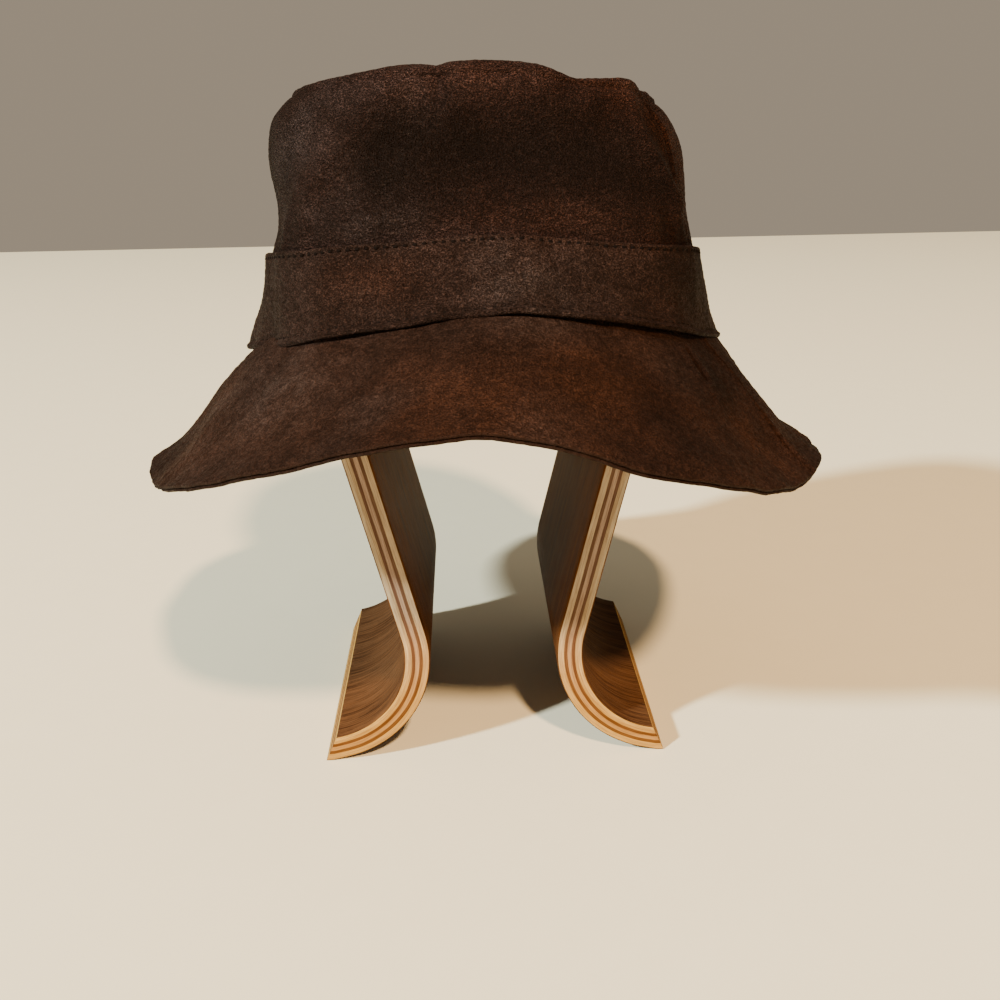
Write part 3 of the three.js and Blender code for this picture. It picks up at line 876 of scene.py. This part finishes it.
# Stitches: one small capsule of thread each, lying along the seam.
def stitches(name, path, normals, length, pitch, thick, sunk, material):
    ends = np.concatenate([path, path[:1]])
    steps = np.linalg.norm(np.diff(ends, axis=0), axis=1)
    run = np.concatenate([[0], np.cumsum(steps)])
    count = int(run[-1] / pitch)
    random = np.random.default_rng(len(name))
    vertices, faces = [], []
    profile = ((-0.5, 0.0), (-0.42, 0.75), (-0.2, 1.0), (0.2, 1.0), (0.42, 0.75), (0.5, 0.0))
    whole = np.concatenate([normals, normals[:1]])
    for k in range(count):
        at = (k + 0.5) * run[-1] / count
        centre = np.array([np.interp(at, run, ends[:, i]) for i in range(3)])
        ahead = np.array([np.interp(min(at + 1, run[-1]), run, ends[:, i]) for i in range(3)])
        behind = np.array([np.interp(max(at - 1, 0), run, ends[:, i]) for i in range(3)])
        along = (ahead - behind) / np.linalg.norm(ahead - behind)
        up = np.array([np.interp(at, run, whole[:, i]) for i in range(3)])
        up -= along * (up @ along)
        up /= np.linalg.norm(up)
        side = np.cross(along, up)
        size = length * random.uniform(0.9, 1.08)
        tilt = random.uniform(-0.10, 0.10)
        axis = along + side * tilt
        base = len(vertices)
        for t, r in profile:
            sink = -sunk - 0.35 * abs(t) * 2 * thick
            spot = centre + axis * t * size + up * sink
            if r == 0:
                vertices.append(spot)
                continue
            for a in range(6):
                angle = a * math.pi / 3
                vertices.append(spot + (up * math.sin(angle) + side * math.cos(angle)) * thick / 2 * r)
        rings = [base + 1 + 6 * i for i in range(4)]
        for a in range(6):
            b = (a + 1) % 6
            faces.append((base, rings[0] + b, rings[0] + a))
            for i in range(3):
                faces.append((rings[i] + a, rings[i] + b, rings[i + 1] + b, rings[i + 1] + a))
            faces.append((rings[3] + a, rings[3] + b, base + 25))
    piece = link_mesh(name, np.array(vertices), faces, [], {})
    piece.data.materials.append(material)


# In each suede, the grey colour and the fleck and speckle strengths give its painted sheen and painted
# glints.
crown_look = suede(
    "crown_suede", dark=(0.0036, 0.0014, 0.0011), brown=(0.0122, 0.0053, 0.0042),
    rust=(0.0330, 0.0106, 0.0050), sheen_grey=(0.0306, 0.0264, 0.0288),
    glint_flecks=0.26, wrinkle=1.0, raw=0.0, long=2.6, gloss=0.11, glint_speckle=1.0)
band_look = suede(
    "band_suede", dark=(0.0074, 0.0037, 0.0027), brown=(0.0180, 0.0098, 0.0082),
    rust=(0.0355, 0.0134, 0.0078), sheen_grey=(0.0340, 0.0285, 0.0285),
    glint_flecks=0.18, wrinkle=0.8, raw=0.0, long=1.5, gloss=0.08, glint_speckle=0.8)
brim_look = suede(
    "brim_suede", dark=(0.0100, 0.0047, 0.0032), brown=(0.0209, 0.0103, 0.0074),
    rust=(0.0405, 0.0148, 0.0074), sheen_grey=(0.0385, 0.0299, 0.0280),
    glint_flecks=0.14, wrinkle=0.8, raw=0.7, long=1.5, gloss=0.05, glint_speckle=0.45)
under_look = suede(
    "brim_under_suede", dark=(0.0070, 0.0036, 0.0025), brown=(0.0150, 0.0076, 0.0054),
    rust=(0.0250, 0.0106, 0.0062), sheen_grey=(0.022, 0.0170, 0.0145),
    glint_flecks=0.05, wrinkle=0.7, raw=0.5, long=1.5, gloss=0.05, glint_speckle=0.3)
thread = thread_material()

# Each piece of leather: its rings, the first and last of them and its rows, how
# far round it goes, its outer and inner face, and what is trimmed at top and foot.
tip = leather(
    "crown_tip_suede", CROWN, (0, 3, 80), "ring", 0, -CROWN_LEATHER, (0, -0.3),
    crown_folds, crown_grain, ["crown_tip"], tip_shape)[0]
tip.data.materials.append(crown_look)
for side in ("front", "back"):
    wall = leather(
        f"crown_{side}_suede", CROWN, (3, 8, 120), side, 0, -CROWN_LEATHER, (0.0, -0.5),
        crown_folds, crown_grain, [f"crown_{side}"], wall_shape)[0]
    wall.data.materials.append(crown_look)
band, band_face, band_normal = leather(
    "hat_band_suede", CROWN, (7, 8, 64), "ring", LAYER_GAP + BAND_LEATHER, LAYER_GAP, (-0.3, 0.0),
    crown_folds, crown_grain, ["hat_band"], band_shape, HEM_DROP)
band.data.materials.append(band_look)
under_face = -BRIM_PLY - UNDER_GAP
for side in ("front", "back"):
    top = leather(
        f"brim_top_{side}_suede", BRIM, (0, 3, 96), side, 0, -BRIM_PLY, (-0.5, 0.0),
        brim_folds, brim_grain, [f"brim_top_{side}"], brim_shape)[0]
    top.data.materials.append(brim_look)
    under = leather(
        f"brim_under_{side}_suede", BRIM, (0, 3, 36), side, under_face, under_face - UNDER_PLY,
        (SEAM_GAP / 2, -0.3), brim_folds, brim_grain, [f"brim_under_{side}"], None)[0]
    under.data.materials.append(under_look)

for name, place, length, thick, sunk in (
        ("band_top_stitches", TOP_ROW, 1.8, 1.25, 0.02),
        ("band_bottom_stitches", BOTTOM_ROW, 1.4, 0.75, 0.12)):
    row = int(round(place * (len(band_face) - 1)))
    stitches(name, band_face[row], band_normal[row], length, STITCH_PITCH, thick, sunk, thread)
make_stand()


# Floor, light.
def make_floor():
    mesh = bpy.data.meshes.new("floor")
    corners = [(x * FLOOR_HALF, y * FLOOR_HALF, 0) for x, y in ((-1, -1), (1, -1), (1, 1), (-1, 1))]
    mesh.from_pydata(corners, [], [(0, 1, 2, 3)])
    floor = bpy.data.objects.new("floor", mesh)
    bpy.context.scene.collection.objects.link(floor)
    n = Nodes("floor")
    fleck = n.noise(n.place(), 60, 3)
    n.link(n.mix(fleck, (0.80, 0.78, 0.61), (0.83, 0.81, 0.64)), n.shader.inputs["Base Color"])
    n.shader.inputs["Roughness"].default_value = 0.6
    mesh.materials.append(n.material)


def area_light(name, place, aim, size, power, colour):
    data = bpy.data.lights.new(name, "AREA")
    data.shape = "DISK"
    data.size = size
    data.energy = power
    data.color = colour
    light = bpy.data.objects.new(name, data)
    bpy.context.scene.collection.objects.link(light)
    light.location = place
    light.rotation_mode = "QUATERNION"
    light.rotation_quaternion = (Vector(aim) - Vector(place)).to_track_quat("-Z", "Y")


make_floor()
area_light("lamp", (0.89, -2.98, 3.10), LIGHTS_AIM, 0.30, 380, (1.0, 0.63, 0.33))
area_light("window", (-3.77, -2.63, 3.13), LIGHTS_AIM, 0.34, 630, (0.98, 1.0, 0.90))

world = bpy.context.scene.world or bpy.data.worlds.new("soft_room")
bpy.context.scene.world = world
world.use_nodes = True
background = world.node_tree.nodes.get("Background") or world.node_tree.nodes.new("ShaderNodeBackground")
background.inputs["Color"].default_value = (0.95, 0.78, 0.58, 1.0)
background.inputs["Strength"].default_value = 0.35
